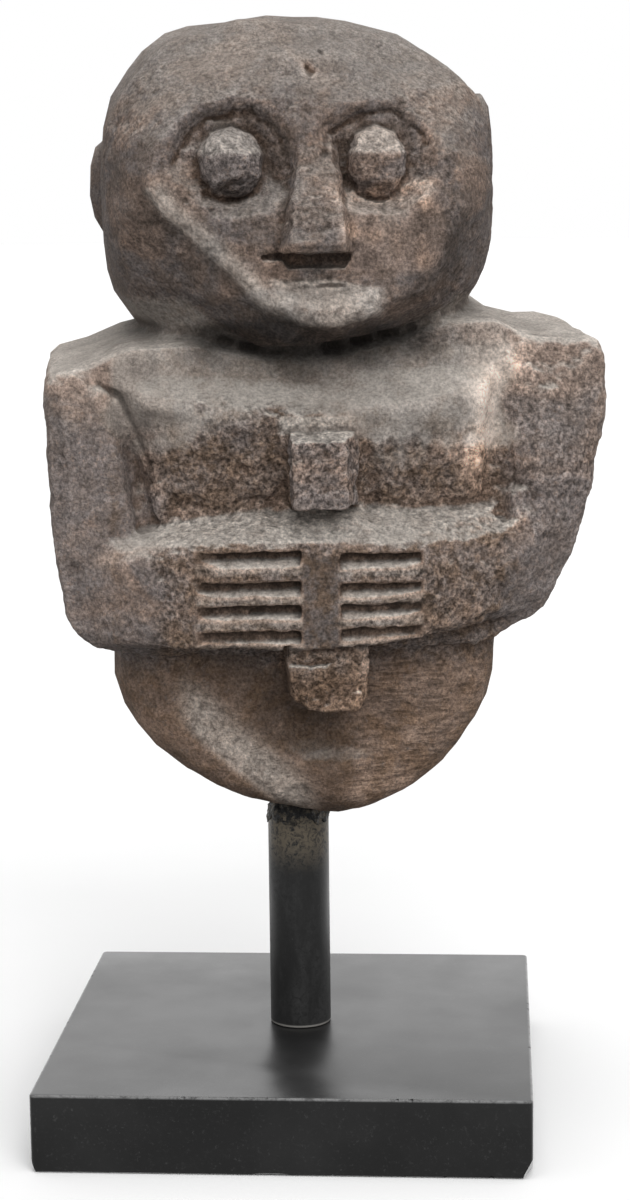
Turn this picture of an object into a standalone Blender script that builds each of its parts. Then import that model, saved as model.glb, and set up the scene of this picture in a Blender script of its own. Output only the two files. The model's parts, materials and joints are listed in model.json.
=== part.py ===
"""A carved stone half figure held up by a round bar on a square slab.

World frame: metres, +Z up, origin at the centre of the slab's underside. The figure
looks along -Y, turned a little towards +X about the origin's upright axis.
Lengths of the carving are written in millimetres and scaled once, in make_object.
"""
import math

import bmesh
import bpy
from mathutils import Matrix, Vector

MM = 0.001

# ---- driving dimensions, in millimetres -------------------------------------------
SLAB_WIDTH = 250.0
SLAB_THICKNESS = 40.0
SLAB_CORNER_RADIUS = 4.0
SLAB_EDGE_BEVEL = 1.2
BAR_RADIUS = 16.2
BAR_OFFSET = 1.6            # the bar stands this far to the right of the slab's centre
BAR_TOP = 156.5
GAP = 0.3
COLLAR_TOP = 168.0
COLLAR_FOOT_RADIUS = 15.4
COLLAR_TOP_RADIUS = 11.0
COLLAR_STEPS = 5
FIGURE_TURN = math.radians(9.0)

HEAD_CENTRE_X = 4.0
HEAD_HALF_WIDTH = 98.0
NECK_FRONT = -46.0          # how far back the groove under the jaw is cut in the middle
NECK_CURVE = 8.0            # how much less deep it is cut at the sides
NECK_OUTSIDE = -116.0
NECK_FLARE = 22.0           # how far the groove opens downwards at its mouth
CROWN_TILT = 0.055          # how much lower the crown gets towards the right
FACE_LEAN = 0.165           # how far the face comes forward for each unit it goes down
FACE_LEAN_HEIGHT = 471.0
FACE_LEAN_START = 44.0      # how far ahead of the axis the lean begins
TORSO_FRONT = -62.0
TORSO_BACK = 56.0
TORSO_BEVEL = 5.0
SHOULDER_FOOT = 380.0       # above this height the shoulders are sloped
SHOULDER_SLOPE = 0.07       # the shoulders rise towards the back
HAND_FRONT = -96.5
FINGER_DEPTH = 6.5
FINGER_GROOVE_HEIGHT = 8.5
GROIN_HEIGHT = 243.0        # where the lower body starts to taper
TAPER_DEPTH = 82.0          # from there down to the broken lower edge
LOWER_HALF_WIDTH = 100.0
RING_POINTS = 48
EYE_SIDES = 10

DRESSING_BLOCK = (240.0, 240.0, 120.0)   # the block that a flat dressed face is cut with
CARVE_VOXEL = 2.8
SOFTENING_PASSES = 2
STONE_TRIANGLE_SHARE = 0.068


# ---- general helpers --------------------------------------------------------------
def clear_scene():
    """Remove the objects that are already there."""
    for thing in list(bpy.data.objects):
        bpy.data.objects.remove(thing, do_unlink=True)


def make_material(name, colour, roughness):
    material = bpy.data.materials.new(name)
    material.use_nodes = True
    shader = material.node_tree.nodes["Principled BSDF"]
    shader.inputs["Base Color"].default_value = (*colour, 1.0)
    shader.inputs["Roughness"].default_value = roughness
    return material


def make_object(name, shape, parent=None, material=None):
    """Turn a bmesh drawn in millimetres into an object in metres."""
    bmesh.ops.recalc_face_normals(shape, faces=shape.faces)
    bmesh.ops.scale(shape, vec=(MM, MM, MM), verts=shape.verts)
    mesh = bpy.data.meshes.new(name)
    shape.to_mesh(mesh)
    shape.free()
    thing = bpy.data.objects.new(name, mesh)
    bpy.context.scene.collection.objects.link(thing)
    thing.parent = parent
    if material:
        mesh.materials.append(material)
    return thing


def hull(name, points, parent):
    """The convex chunk around a few corner points."""
    shape = bmesh.new()
    for point in points:
        shape.verts.new(point)
    result = bmesh.ops.convex_hull(shape, input=shape.verts)
    loose = [item for item in result["geom_interior"] if isinstance(item, bmesh.types.BMVert)]
    bmesh.ops.delete(shape, geom=loose, context="VERTS")
    return make_object(name, shape, parent)


def loft(name, rings, parent):
    """A closed body through rings that all have the same number of points."""
    shape = bmesh.new()
    loops = [[shape.verts.new(point) for point in ring] for ring in rings]
    count = len(loops[0])
    for near, far in zip(loops, loops[1:]):
        for i in range(count):
            j = (i + 1) % count
            shape.faces.new((near[i], near[j], far[j], far[i]))
    shape.faces.new(loops[0])
    shape.faces.new(reversed(loops[-1]))
    return make_object(name, shape, parent)


def prism(name, outline, front, back, bevel, parent, crown, slope):
    """An outline in X and Z, given depth along Y, with its edges rounded.

    What is above the crown height is sloped, higher at the back than at the front.
    """
    shape = bmesh.new()
    face = shape.faces.new([shape.verts.new((x, front, z)) for x, z in outline])
    swept = bmesh.ops.extrude_face_region(shape, geom=[face])
    moved = [item for item in swept["geom"] if isinstance(item, bmesh.types.BMVert)]
    bmesh.ops.translate(shape, vec=(0.0, back - front, 0.0), verts=moved)
    for vert in shape.verts:
        if vert.co.z > crown:
            vert.co.z += slope * vert.co.y
    bmesh.ops.bevel(shape, geom=shape.edges[:], offset=bevel, segments=3, profile=0.6,
                    affect="EDGES", clamp_overlap=True)
    return make_object(name, shape, parent)


def ball(name, centre, radii, parent, tilt=0.0, rings=16):
    """An ellipsoid, tilted about the X axis."""
    shape = bmesh.new()
    place = (Matrix.Translation(centre) @ Matrix.Rotation(tilt, 4, "X")
             @ Matrix.Diagonal((*radii, 1.0)))
    bmesh.ops.create_uvsphere(shape, u_segments=2 * rings, v_segments=rings, radius=1.0,
                              matrix=place)
    return make_object(name, shape, parent)


def join_to(target, tool, operation):
    """Hide a tool body and add it to the target, or take it away from it."""
    tool.hide_render = True
    tool.display_type = "WIRE"
    cut = target.modifiers.new(tool.name, "BOOLEAN")
    cut.operation = operation
    cut.object = tool
    cut.solver = "EXACT"


def power_arc(share, exponent):
    """Half width of a superellipse at a share of its height, both from 0 to 1."""
    return max(0.0, 1.0 - abs(share) ** exponent) ** (1.0 / exponent)


def superellipse(angle, sizes, exponents):
    """A point of a lopsided superellipse: sizes and exponents for each quarter."""
    c, s = math.cos(angle), math.sin(angle)
    left, right, top, bottom = sizes
    exponent = exponents[(0 if s >= 0 else 2) + (0 if c < 0 else 1)]
    reach = (abs(c) ** exponent + abs(s) ** exponent) ** (-1.0 / exponent)
    return c * reach * (right if c >= 0 else left), s * reach * (top if s >= 0 else bottom)


# ---- the figure's bodies ----------------------------------------------------------
def head_rings():
    """Front outlines of the head from the face to the back, each at its depth.

    Each row: depth, centre X and Z, reach left, right, up and down, and the
    roundness of the upper left, upper right, lower left and lower right quarters.
    """
    rows = [
        (-95.0, 8, 474, (52, 50, 30, 48), (2.0, 2.0, 1.5, 1.9)),
        (-90.0, 3, 484, (78, 76, 42, 70), (2.2, 2.2, 2.2, 2.2)),
        (-72.0, 3, 486, (88, 88, 60, 78), (2.2, 2.2, 2.6, 2.6)),
        (-42.0, HEAD_CENTRE_X, 491, (98, 98, 73, 84), (2.4, 2.4, 3.2, 3.0)),
        (-8.0, HEAD_CENTRE_X, 495, (99, 98, 75, 88), (2.4, 2.5, 4.5, 4.2)),
        (34.0, HEAD_CENTRE_X, 495, (97, 97, 73, 88), (2.4, 2.4, 4.5, 4.2)),
        (60.0, HEAD_CENTRE_X, 492, (91, 92, 63, 84), (2.4, 2.4, 3.4, 3.2)),
        (76.0, HEAD_CENTRE_X, 486, (74, 75, 48, 70), (2.3, 2.3, 2.6, 2.6)),
        (84.0, HEAD_CENTRE_X, 482, (48, 48, 30, 48), (2.2, 2.2, 2.2, 2.2)),
    ]
    rings = []
    for depth, centre_x, centre_z, sizes, exponents in rows:
        lean = FACE_LEAN * max(0.0, -depth - FACE_LEAN_START) / (95.0 - FACE_LEAN_START)
        ring = []
        for i in range(RING_POINTS):
            angle = 2.0 * math.pi * i / RING_POINTS
            x, z = superellipse(angle, sizes, exponents)
            height = centre_z + z - CROWN_TILT * x * max(0.0, z) / sizes[2]
            ring.append((centre_x + x, depth + lean * (height - FACE_LEAN_HEIGHT), height))
        rings.append(ring)
    return rings


def lower_body_rings():
    """Level outlines of the lower body, from inside the belly to the broken edge."""
    rings = []
    shares = [-0.35, -0.1, 0.1, 0.25, 0.4, 0.52, 0.64, 0.74, 0.83, 0.9, 0.955, 0.985]
    for share in shares:
        below = max(0.0, share)
        half_width = LOWER_HALF_WIDTH * power_arc(below, 1.8)
        depth = power_arc(below, 3.6)
        front = -14.0 - 41.0 * depth
        back = 10.0 + 42.0 * depth
        centre_x = 4.5 + 14.0 * below ** 4
        middle, reach = (front + back) / 2.0, (back - front) / 2.0
        ring = []
        for i in range(RING_POINTS):
            angle = 2.0 * math.pi * i / RING_POINTS
            x, y = superellipse(angle, (half_width, half_width, reach, reach), (4.2,) * 4)
            ring.append((centre_x + x, middle + y, GROIN_HEIGHT - share * TAPER_DEPTH))
        rings.append(ring)
    return rings


def add_torso(turn):
    """Shoulders, back and upper arms: the block that the front is carved on."""
    outline = [(-82, 252), (-106, 257), (-114, 264), (-119, 274), (-121, 290), (-125, 325),
               (-126, 355), (-126, 392), (-123, 399), (-108, 402), (-84, 411), (100, 424),
               (110, 416), (118, 413), (140, 413), (151, 411), (155, 404), (155, 372),
               (148, 330), (134, 292), (123, 270), (104, 262), (92, 254)]
    return prism("stone_figure", outline, TORSO_FRONT, TORSO_BACK, TORSO_BEVEL, turn,
                 SHOULDER_FOOT, SHOULDER_SLOPE)


def add_chest(stone, turn):
    """Two raised chest planes that drop back to the forearms, one on each side."""
    left = [(-90, -44, 409), (2, -44, 409), (-93, -63, 393), (-80, -76, 382), (-40, -83, 376),
            (6, -82, 369), (-75, -72, 340), (-71, -67, 316), (6, -72, 318),
            (-90, -30, 400), (6, -30, 400), (-66, -30, 312), (6, -30, 312)]
    right = [(2, -44, 409), (97, -44, 412), (99, -62, 397), (91, -77, 382), (56, -84, 378),
             (2, -83, 370), (87, -73, 340), (88, -67, 318), (2, -72, 318),
             (98, -30, 402), (2, -30, 402), (92, -30, 314), (2, -30, 314)]
    join_to(stone, hull("tool_chest_left", left, turn), "UNION")
    join_to(stone, hull("tool_chest_right", right, turn), "UNION")


def add_arms(stone, turn):
    """Forearms folded over the belly, and the fuller fronts of the upper arms."""
    left_forearm = [(-114, -62, 300), (-114, -58, 270), (-104, -60, 258), (-88, -82, 302),
                    (-90, -78, 261), (-40, HAND_FRONT, 312), (-54, -94, 260),
                    (8, HAND_FRONT, 312), (8, -96, 258), (-98, -70, 313), (8, -76, 328),
                    (-114, -20, 302), (-110, -20, 262), (8, -40, 330), (8, -40, 258)]
    right_forearm = [(128, -56, 300), (127, -56, 276), (108, -66, 270), (98, -82, 310),
                     (90, -84, 274), (44, HAND_FRONT, 310), (45, -94, 261),
                     (4, HAND_FRONT, 312), (4, -96, 258), (98, -68, 326), (4, -76, 328),
                     (128, -20, 302), (121, -20, 270), (4, -40, 331), (4, -40, 258)]
    left_shoulder = [(-120, -62, 396), (-98, -62, 398), (-97, -69, 384), (-118, -67, 378),
                     (-116, -67, 302), (-84, -72, 330), (-84, -70, 304), (-120, -30, 396),
                     (-96, -30, 398), (-116, -30, 296), (-84, -30, 300)]
    right_shoulder = [(153, -62, 402), (108, -62, 406), (106, -66, 394), (120, -73, 378),
                      (152, -64, 372), (136, -64, 298), (120, -75, 312), (106, -66, 318),
                      (153, -30, 402), (108, -30, 406), (136, -30, 294), (108, -30, 300)]
    join_to(stone, hull("tool_forearm_left", left_forearm, turn), "UNION")
    join_to(stone, hull("tool_forearm_right", right_forearm, turn), "UNION")
    join_to(stone, hull("tool_shoulder_left", left_shoulder, turn), "UNION")
    join_to(stone, hull("tool_shoulder_right", right_shoulder, turn), "UNION")
    right_elbow = [(98, -76, 332), (147, -64, 338), (138, -63, 300), (124, -60, 272),
                   (96, -84, 292), (98, -30, 332), (147, -30, 338), (124, -30, 272)]
    join_to(stone, hull("tool_elbow_right", right_elbow, turn), "UNION")


def dress_flat(target, name, corners, turn):
    """Cut off all that lies outside the plane through three corners.

    Seen from outside the stone, the corners run anticlockwise.
    """
    first, second, third = (Vector(corner) for corner in corners)
    outward = (second - first).cross(third - first).normalized()
    shape = bmesh.new()
    place = (Matrix.Translation((first + second + third) / 3.0)
             @ outward.to_track_quat("Z", "Y").to_matrix().to_4x4()
             @ Matrix.Translation((0.0, 0.0, DRESSING_BLOCK[2] / 2.0)))
    bmesh.ops.create_cube(shape, size=1.0, matrix=place @ Matrix.Diagonal((*DRESSING_BLOCK, 1)))
    join_to(target, make_object(name, shape, turn), "DIFFERENCE")


def add_head(stone, turn):
    """The boulder-like head with its jaw dressed flat, the ears and the eye sockets."""
    head = loft("tool_head", head_rings(), turn)
    jaw = [("left", (-73, -86, 481), (-54, -58, 412), (-25, -94, 431)),
           ("lower_left", (-25, -95, 431), (-20, -64, 406), (0, -100, 418)),
           ("bottom", (-1, -100, 417.5), (6, -66, 403), (16, -100, 417.5)),
           ("lower_right", (15, -100, 417.5), (40, -63, 407), (56, -99, 436)),
           ("right", (56, -99, 436), (78, -56, 423), (84, -91, 486))]
    for side, *corners in jaw:
        dress_flat(head, "tool_jaw_" + side, corners, turn)
    mouth_bowl = ball("tool_mouth_bowl", (8, -118, 447), (50, 26, 23), turn)
    join_to(head, mouth_bowl, "DIFFERENCE")
    join_to(stone, head, "UNION")
    ears = [("tool_ear_left", (-95, 20, 487), (6.5, 14, 23)),
            ("tool_ear_right", (99, 0, 506), (7.5, 17, 28))]
    for name, centre, radii in ears:
        join_to(stone, ball(name, centre, radii, turn), "UNION")
    sockets = [("tool_socket_left", (-33, -98, 501), (36, 22, 31)),
               ("tool_socket_right", (37, -98, 500), (35, 22, 31))]
    for name, centre, radii in sockets:
        join_to(stone, ball(name, centre, radii, turn, tilt=math.radians(-14)), "DIFFERENCE")


def undercut_jaw(stone, turn):
    """The shadowed groove between the lower edge of the head and the chest."""
    edge = [(-104, 425), (-86, 420), (-50, 413), (-18, 407), (14, 407.5), (53, 415), (83, 429),
            (98, 439)]
    for number, ends in enumerate(zip(edge, edge[1:]), 1):
        points = []
        for x, z in ends:
            back = NECK_FRONT - NECK_CURVE * abs(x / HEAD_HALF_WIDTH) ** 2
            points += [(x, NECK_OUTSIDE, z), (x, back, z + 1), (x, back, z - 3),
                       (x, NECK_OUTSIDE, z - NECK_FLARE)]
        join_to(stone, hull(f"tool_neck_{number}", points, turn), "DIFFERENCE")


def carve_armpits(stone, turn):
    """The V-shaped valleys that part the upper arms from the chest."""
    left = [(-106, -84, 394), (-88, -84, 388), (-92, -58, 382), (-88, -84, 350),
            (-70, -84, 342), (-79, -57, 338), (-92, -84, 322), (-70, -84, 316), (-80, -60, 318)]
    right = [(98, -88, 400), (109, -88, 400), (102, -62, 393), (92, -88, 345),
             (114, -88, 350), (98, -58, 338), (93, -88, 316), (112, -88, 318), (101, -60, 316)]
    elbow_nick = [(103, -90, 326), (107.5, -90, 326), (105, -68, 326), (103, -90, 296),
                  (107.5, -90, 296), (105, -78, 298)]
    join_to(stone, hull("tool_armpit_left", left, turn), "DIFFERENCE")
    join_to(stone, hull("tool_armpit_right", right, turn), "DIFFERENCE")
    join_to(stone, hull("tool_elbow_nick", elbow_nick, turn), "DIFFERENCE")


def add_lower_body(stone, turn):
    """The bowl-shaped lower body, with the hollow under the hands."""
    join_to(stone, loft("tool_lower_body", lower_body_rings(), turn), "UNION")
    hollow = ball("tool_front_hollow", (16, -96, 214), (86, 50, 44), turn)
    join_to(stone, hollow, "DIFFERENCE")


def weather(stone):
    """Run the chunks together as worn stone and bring the triangles down."""
    merge = stone.modifiers.new("merge", "REMESH")
    merge.mode = "VOXEL"
    merge.voxel_size = CARVE_VOXEL * MM
    soften = stone.modifiers.new("soften", "SMOOTH")
    soften.factor = 0.5
    soften.iterations = SOFTENING_PASSES
    clouds = bpy.data.textures.new("uneven_carving", "CLOUDS")
    clouds.noise_scale = 0.028
    clouds.noise_depth = 1
    uneven = stone.modifiers.new("uneven", "DISPLACE")
    uneven.texture = clouds
    uneven.texture_coords = "LOCAL"
    uneven.strength = 3.2 * MM
    uneven.mid_level = 0.55
    thin = stone.modifiers.new("thin", "DECIMATE")
    thin.ratio = STONE_TRIANGLE_SHARE


def add_eyes(stone, turn):
    """Ball eyes, each dressed back in slopes to a smaller flat front."""
    eyes = [("tool_eye_left", -33.5, 495.5, 16.0, 17.5, (1.5, -2.5)),
            ("tool_eye_right", 37.0, 495.0, 14.5, 17.5, (-1.5, 1.0))]
    for name, middle, height, half_width, half_height, (side, rise) in eyes:
        rings = []
        for depth, share, drift in ((-72, 1.08, 0.0), (-85, 1.0, 0.1), (-92.5, 0.88, 0.5),
                                    (-98, 0.58, 1.0)):
            ring = []
            for i in range(EYE_SIDES):
                angle = 2.0 * math.pi * (i + 0.5) / EYE_SIDES
                ring.append((middle + side * drift + share * half_width * math.cos(angle), depth,
                             height + rise * drift + share * half_height * math.sin(angle)))
            rings.append(ring)
        join_to(stone, loft(name, rings, turn), "UNION")


def add_nose(stone, turn):
    """A wedge nose between the eyes, undercut below, and the faint mouth."""
    nose = [(1, -82, 516), (14, -82, 516), (-7, -111, 457), (19, -112, 457),
            (-13, -96, 453), (24, -97, 453), (-13, -76, 453), (24, -76, 453),
            (-7, -109, 453), (19, -110, 453), (-4, -74, 514), (19, -74, 514)]
    undercut = [(-11, -104, 452.4), (24, -104, 452.4), (-11, -86, 452.4), (24, -86, 452.4),
                (-8, -104, 443), (22, -104, 443), (-6, -88, 446), (20, -88, 446)]
    saw_mark = [(-21, -104, 451.6), (-8, -104, 452.4), (-21, -91, 451.4), (-8, -87, 452.4),
                (-21, -104, 450.6), (-8, -104, 449.2), (-21, -91, 450.6), (-8, -87, 449.2)]
    mouth = [(-9, -108, 439), (26, -108, 440), (-9, -108, 433), (26, -108, 434),
             (0, -90.5, 436.6), (18, -90.5, 437)]
    join_to(stone, hull("tool_nose", nose, turn), "UNION")
    join_to(stone, hull("tool_nose_undercut", undercut, turn), "DIFFERENCE")
    join_to(stone, hull("tool_saw_mark", saw_mark, turn), "DIFFERENCE")
    join_to(stone, hull("tool_mouth", mouth, turn), "DIFFERENCE")


def add_pendant_and_tab(stone, turn):
    """The square pendant on the chest and the tab below the hands."""
    pendant = [(-7, -76, 367), (22, -76, 367), (-7, -99, 362), (19, -99, 362), (26, -82, 365),
               (-7, -100, 329), (20, -100, 329), (27, -82, 329), (-7, -60, 329), (27, -60, 329),
               (-7, -60, 367), (26, -60, 367)]
    undercut = [(-8, -104, 328.6), (29, -104, 328.6), (-8, -78, 328.6), (29, -78, 328.6),
                (-6, -104, 320), (27, -104, 320), (-6, -82, 322), (27, -82, 322)]
    tab = [(-8, -86, 260), (31, -86, 260), (-8, -84, 244), (31, -83, 244), (-8, -76, 236),
           (-5, -82, 230), (4, -84, 226.5), (24, -83, 226), (30, -78, 231), (31, -76, 238),
           (-8, -40, 260), (31, -40, 260), (-8, -40, 231), (31, -40, 231)]
    step = [(-10, -99, 257.5), (30, -99, 256.5), (-10, -84, 257), (26, -88, 256),
            (-10, -99, 247), (8, -99, 248), (-10, -81.5, 249), (8, -82, 249)]
    slit = [(x, y, z) for x, z in ((-12.5, 262), (-8.5, 262), (-12, 236), (-8.5, 236))
            for y in (-94, -68)]
    join_to(stone, hull("tool_pendant", pendant, turn), "UNION")
    join_to(stone, hull("tool_pendant_undercut", undercut, turn), "DIFFERENCE")
    join_to(stone, hull("tool_tab", tab, turn), "UNION")
    join_to(stone, hull("tool_tab_step", step, turn), "DIFFERENCE")
    join_to(stone, hull("tool_tab_slit", slit, turn), "DIFFERENCE")


def add_finger_grooves(stone, turn):
    """Four grooves across each hand: a level upper wall and a sloping lower lip."""
    hands = [("left", -54, -3, (309, 294, 282, 269)), ("right", 16, 57, (307, 292.5, 282, 270))]
    outside = HAND_FRONT - FINGER_DEPTH
    for side, start, end, tops in hands:
        for number, top in enumerate(tops, 1):
            points = []
            for x, shallow in ((start, 2.5), (end, 0.5)):
                floor = HAND_FRONT + FINGER_DEPTH - shallow
                points += [(x, outside, top), (x, floor, top - 0.7),
                           (x, floor, top - 0.5 * FINGER_GROOVE_HEIGHT),
                           (x, HAND_FRONT, top - FINGER_GROOVE_HEIGHT),
                           (x, outside, top - 1.2 * FINGER_GROOVE_HEIGHT)]
            name = f"tool_groove_{side}_{number}"
            join_to(stone, hull(name, points, turn), "DIFFERENCE")


def collar_ring(share, growth, lift):
    """One lumpy level ring of the setting compound, from its foot (0) to its top (1)."""
    foot = BAR_TOP + GAP
    ring = []
    for i in range(RING_POINTS):
        angle = 2.0 * math.pi * i / RING_POINTS
        lump = 0.5 * math.sin(5.0 * angle + 2.0 * share) + 0.4 * math.sin(11.0 * angle - share)
        radius = COLLAR_FOOT_RADIUS + share * (COLLAR_TOP_RADIUS - COLLAR_FOOT_RADIUS)
        radius += lump + growth
        ring.append((BAR_OFFSET + radius * math.cos(angle), radius * math.sin(angle),
                     foot + share * (COLLAR_TOP - foot) + lift))
    return ring


def cut_seat(stone):
    """The shallow pocket in the underside that the setting compound fills."""
    rings = [collar_ring(0.0, 2.0 * GAP, -6.0)]
    for step in range(COLLAR_STEPS + 1):
        rings.append(collar_ring(step / COLLAR_STEPS, 2.0 * GAP, GAP))
    join_to(stone, loft("tool_seat", rings, None), "DIFFERENCE")


# ---- the pieces -------------------------------------------------------------------
def make_stone(turn):
    """The carved figure: worn bodies run together first, crisp carving after that."""
    stone_material = make_material("weathered_stone", (0.20, 0.165, 0.15), 0.93)
    stone = add_torso(turn)
    stone.data.materials.append(stone_material)
    add_chest(stone, turn)
    add_arms(stone, turn)
    add_lower_body(stone, turn)
    add_head(stone, turn)
    undercut_jaw(stone, turn)
    carve_armpits(stone, turn)
    weather(stone)
    add_eyes(stone, turn)
    add_nose(stone, turn)
    add_pendant_and_tab(stone, turn)
    add_finger_grooves(stone, turn)
    cut_seat(stone)
    return stone


def make_collar():
    """Rough setting compound between the end of the bar and the stone."""
    compound = make_material("setting_compound", (0.018, 0.017, 0.016), 0.9)
    rings = [collar_ring(step / COLLAR_STEPS, 0.0, 0.0) for step in range(COLLAR_STEPS + 1)]
    collar = loft("setting_collar", rings, None)
    collar.data.materials.append(compound)
    return collar


def make_bar():
    """The upright round bar, with eased rims."""
    steel = make_material("black_painted_steel", (0.02, 0.02, 0.021), 0.42)
    foot = SLAB_THICKNESS + GAP
    shape = bmesh.new()
    bmesh.ops.create_cone(shape, cap_ends=True, segments=96, radius1=BAR_RADIUS,
                          radius2=BAR_RADIUS, depth=BAR_TOP - foot,
                          matrix=Matrix.Translation((BAR_OFFSET, 0, (BAR_TOP + foot) / 2.0)))
    rims = [edge for edge in shape.edges if abs(edge.verts[0].co.z - edge.verts[1].co.z) < 1e-4]
    bmesh.ops.bevel(shape, geom=rims, offset=0.6, segments=2, profile=0.5, affect="EDGES")
    return make_object("support_rod", shape, None, steel)


def make_slab():
    """The square slab, eased along its edges, with its two front lower corners chipped."""
    polished = make_material("black_slab_stone", (0.022, 0.022, 0.023), 0.35)
    half = SLAB_WIDTH / 2.0
    shape = bmesh.new()
    bmesh.ops.create_cube(shape, size=1.0, matrix=Matrix.Translation((0, 0, SLAB_THICKNESS / 2.0))
                          @ Matrix.Diagonal((SLAB_WIDTH, SLAB_WIDTH, SLAB_THICKNESS, 1.0)))
    upright = [e for e in shape.edges if abs(e.verts[0].co.z - e.verts[1].co.z) > 1.0]
    bmesh.ops.bevel(shape, geom=upright, offset=SLAB_CORNER_RADIUS, segments=5, profile=0.5,
                    affect="EDGES")
    rims = [e for e in shape.edges if abs(e.verts[0].co.z - e.verts[1].co.z) < 1e-4
            and len(e.link_faces) == 2 and abs(e.calc_face_angle() - math.pi / 2.0) < 0.1]
    bmesh.ops.bevel(shape, geom=rims, offset=SLAB_EDGE_BEVEL, segments=2, profile=0.5,
                    affect="EDGES")
    slab = make_object("base_slab", shape, None, polished)
    right_chip = [(half + 3, y, z) for y in (-half - 3, -half + 7) for z in (-3, 15.2)]
    right_chip += [(half - 5, y, -3) for y in (-half - 3, -half + 7)] + [(half + 3, -half + 30, -3)]
    left_chip = [(-half - 3, -half - 3, -3), (-half - 3, -half - 3, 12), (-half + 2, -half - 3, 2.2),
                 (-half + 11, -half - 3, -1), (-half + 11, -half - 3, -3), (-half - 3, -half + 12, -3)]
    join_to(slab, hull("tool_chip_right", right_chip, None), "DIFFERENCE")
    join_to(slab, hull("tool_chip_left", left_chip, None), "DIFFERENCE")
    return slab


def main():
    clear_scene()
    turn = bpy.data.objects.new("figure_turn", None)
    bpy.context.scene.collection.objects.link(turn)
    turn.rotation_euler = (0.0, 0.0, FIGURE_TURN)
    for piece in (make_stone(turn), make_collar(), make_bar(), make_slab()):
        piece.data.shade_smooth()
        piece.data.set_sharp_from_angle(angle=math.radians(35.0))


main()
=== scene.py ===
"""A weathered stone half figure, held by a black rod over a honed black slab.

Laid out as an add-on: one operator makes each piece, and main() calls them in order.
The frame gives where each piece is. The figure is worked on in its own coordinates:
millimetres, turned with it, X to its left as it looks out, -Y in front, Z up.
"""
import json
import math
import random

import bpy
import numpy as np
from bpy.props import FloatProperty, FloatVectorProperty, IntProperty, PointerProperty
from mathutils import Matrix, Vector

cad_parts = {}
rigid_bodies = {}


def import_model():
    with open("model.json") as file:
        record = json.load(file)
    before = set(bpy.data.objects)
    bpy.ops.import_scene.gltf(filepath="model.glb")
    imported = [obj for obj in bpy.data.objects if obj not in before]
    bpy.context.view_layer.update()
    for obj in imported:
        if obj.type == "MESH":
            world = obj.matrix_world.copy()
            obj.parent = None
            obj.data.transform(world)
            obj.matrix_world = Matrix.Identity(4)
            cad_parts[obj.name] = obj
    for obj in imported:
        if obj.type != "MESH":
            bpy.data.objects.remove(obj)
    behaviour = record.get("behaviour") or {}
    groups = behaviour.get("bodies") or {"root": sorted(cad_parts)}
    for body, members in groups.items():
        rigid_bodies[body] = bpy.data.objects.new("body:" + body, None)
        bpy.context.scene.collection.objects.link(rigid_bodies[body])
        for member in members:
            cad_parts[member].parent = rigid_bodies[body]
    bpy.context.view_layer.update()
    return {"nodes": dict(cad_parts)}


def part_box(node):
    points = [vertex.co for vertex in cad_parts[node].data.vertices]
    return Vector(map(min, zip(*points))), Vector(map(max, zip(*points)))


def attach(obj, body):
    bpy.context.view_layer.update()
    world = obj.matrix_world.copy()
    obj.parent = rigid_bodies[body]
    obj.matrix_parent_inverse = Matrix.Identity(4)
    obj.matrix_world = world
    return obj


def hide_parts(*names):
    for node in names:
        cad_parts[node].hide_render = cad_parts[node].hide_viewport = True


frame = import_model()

bl_info = {
    "name": "Stone Half Figure on a Rod",
    "version": (1, 0, 0),
    "blender": (4, 5, 0),
    "location": "3D View > Sidebar > Half Figure",
    "description": "Makes a weathered stone half figure with its rod, setting and slab",
    "category": "Mesh",
}

MM = 0.001
ROD_LOW, ROD_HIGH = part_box("support_rod")
COLLAR_LOW, COLLAR_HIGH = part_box("setting_collar")
SLAB_LOW, SLAB_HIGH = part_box("base_slab")

FIGURE_TURN = math.radians(9.0)   # the figure is turned this far on its slab
WEIGHT_STEPS = 20                 # levels that a painted vertex group is rounded to
HOLLOW_PASSES = 80                # smoothing passes that the broad hollows are measured by
PIT_PASSES = 9                    # and those for the small pits
FLAT = 1e-5                       # metres within which two heights count as the same

# Places on the carving, in figure millimetres: X and Z pairs, ranges, or depths along Y.
GROOVE_HEIGHT = 8.5
FINGER_GROOVES = ((-54.0, -3.0, (309.0, 294.0, 282.0, 269.0)),
                  (16.0, 57.0, (307.0, 292.5, 282.0, 270.0)))
STRIP_X = (-2.0, 15.0)
STRIP_Z = (262.0, 304.0)
HANDS_BEHIND = (-84.0, -78.0)     # the depths over which the front of the hands ends
CARVED_DEPTH = (-30.0, -10.0)     # the depths over which the carved front ends

BROW_LEFT = ((-61, 496), (-58, 503), (-53, 510), (-45, 516.5), (-33, 520), (-23, 519),
             (-14, 513), (-8, 504), (-6, 494), (-8, 484))
BROW_RIGHT = ((12, 500), (15, 509), (23, 516), (35, 520), (48, 519), (57, 512), (62, 504))
FACE_RIM = ((-74, 483), (-66, 472), (-54, 462), (-46, 454), (-34, 443), (-20, 428), (-3, 419),
            (18, 418.5), (32, 423), (50, 433), (57, 443), (63, 456), (70, 467))
FACE_MIDDLE = (2.0, 462.0)
EYES = ((-33.5, 495.5, 16.0, 17.5), (37.0, 495.0, 14.5, 17.5))
ARMPIT_LEFT = ((-99, 389), (-89, 383), (-82, 367), (-75, 350), (-74, 341))
ARMPIT_RIGHT = ((103, 398), (96, 385), (92, 362), (88, 339), (90, 322))
FOREARM_LEDGE = ((-98, 306), (-76, 313), (-51, 320), (-7, 325), (40, 324), (84, 322))
PENDANT_X = (-8.0, 27.0)
PENDANT_Z = (329.0, 367.0)
TAB_X = (-7.0, 31.0)
TAB_Z = (226.0, 256.0)
INNER_SOCKET = ((-40, 513), (-24, 513), (-14, 503), (-12, 486))
ELBOW_FOLD = ((104, 338), (113, 331))
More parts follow.
